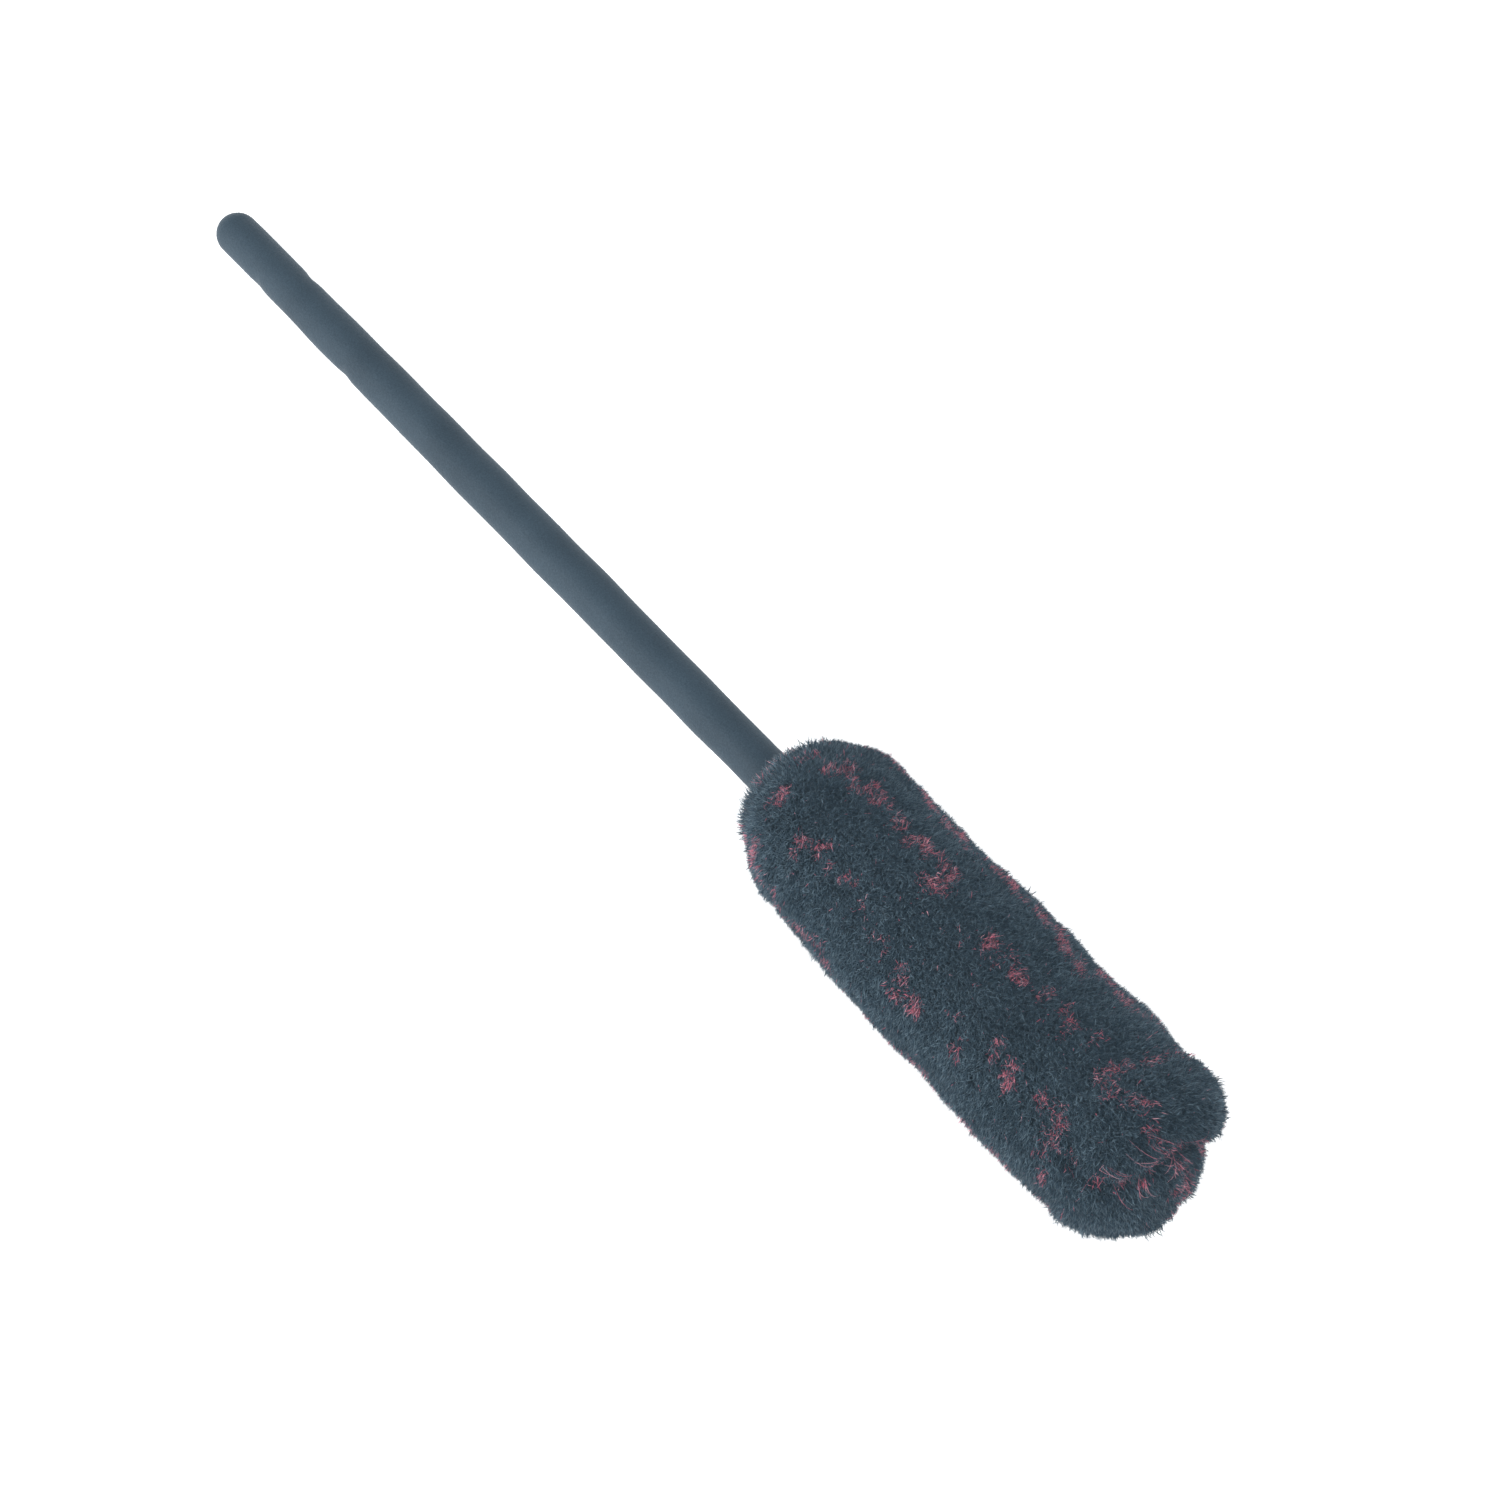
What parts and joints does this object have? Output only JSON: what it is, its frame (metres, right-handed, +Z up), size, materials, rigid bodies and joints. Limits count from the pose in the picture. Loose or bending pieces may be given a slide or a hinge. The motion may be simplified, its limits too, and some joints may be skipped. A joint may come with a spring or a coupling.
{
  "type": "wheel brush",
  "caption": "Wheel cleaning brush with a soft plush head wound over a plastic core and a long straight foam grip.",
  "frame": {"origin": "on the surface that the brush lies on, under the centre of its bounding box", "axes": "+Z up; +X along the brush from the butt of the grip to the tip of the plush; the long axis climbs 3.3 degrees from the butt to the tip, as the brush lies at rest"},
  "size_m": [0.4563, 0.0596, 0.0617],
  "materials": {
    "grip_foam": "matte",
    "nylon": "satin",
    "core_plastic": "satin",
    "pin_plastic": "satin",
    "bumper_rubber": "matte",
    "backing_cloth": "matte",
    "seam_tape": "matte",
    "tie_cord": "matte",
    "pile": "matte"
  },
  "bodies": {
    "root": {"foam_grip_sleeve": "grip_foam", "rod_end_cap": "nylon", "core_rod": "nylon", "neck_hub": "core_plastic", "core_tube": "core_plastic", "tip_hub": "core_plastic", "neck_cross_pin": "pin_plastic", "tip_cross_pin": "pin_plastic", "tip_bumper": "bumper_rubber", "neck_backing": "backing_cloth", "neck_tie_cord": "tie_cord", "backing_sleeve": "backing_cloth", "seam_tape": "seam_tape", "tip_backing": "backing_cloth", "pile_neck": "pile", "pile_body": "pile", "pile_tip_petal_1": "pile", "pile_tip_petal_2": "pile", "pile_tip_petal_3": "pile", "pile_tip_petal_4": "pile"}
  },
  "joints": []
}
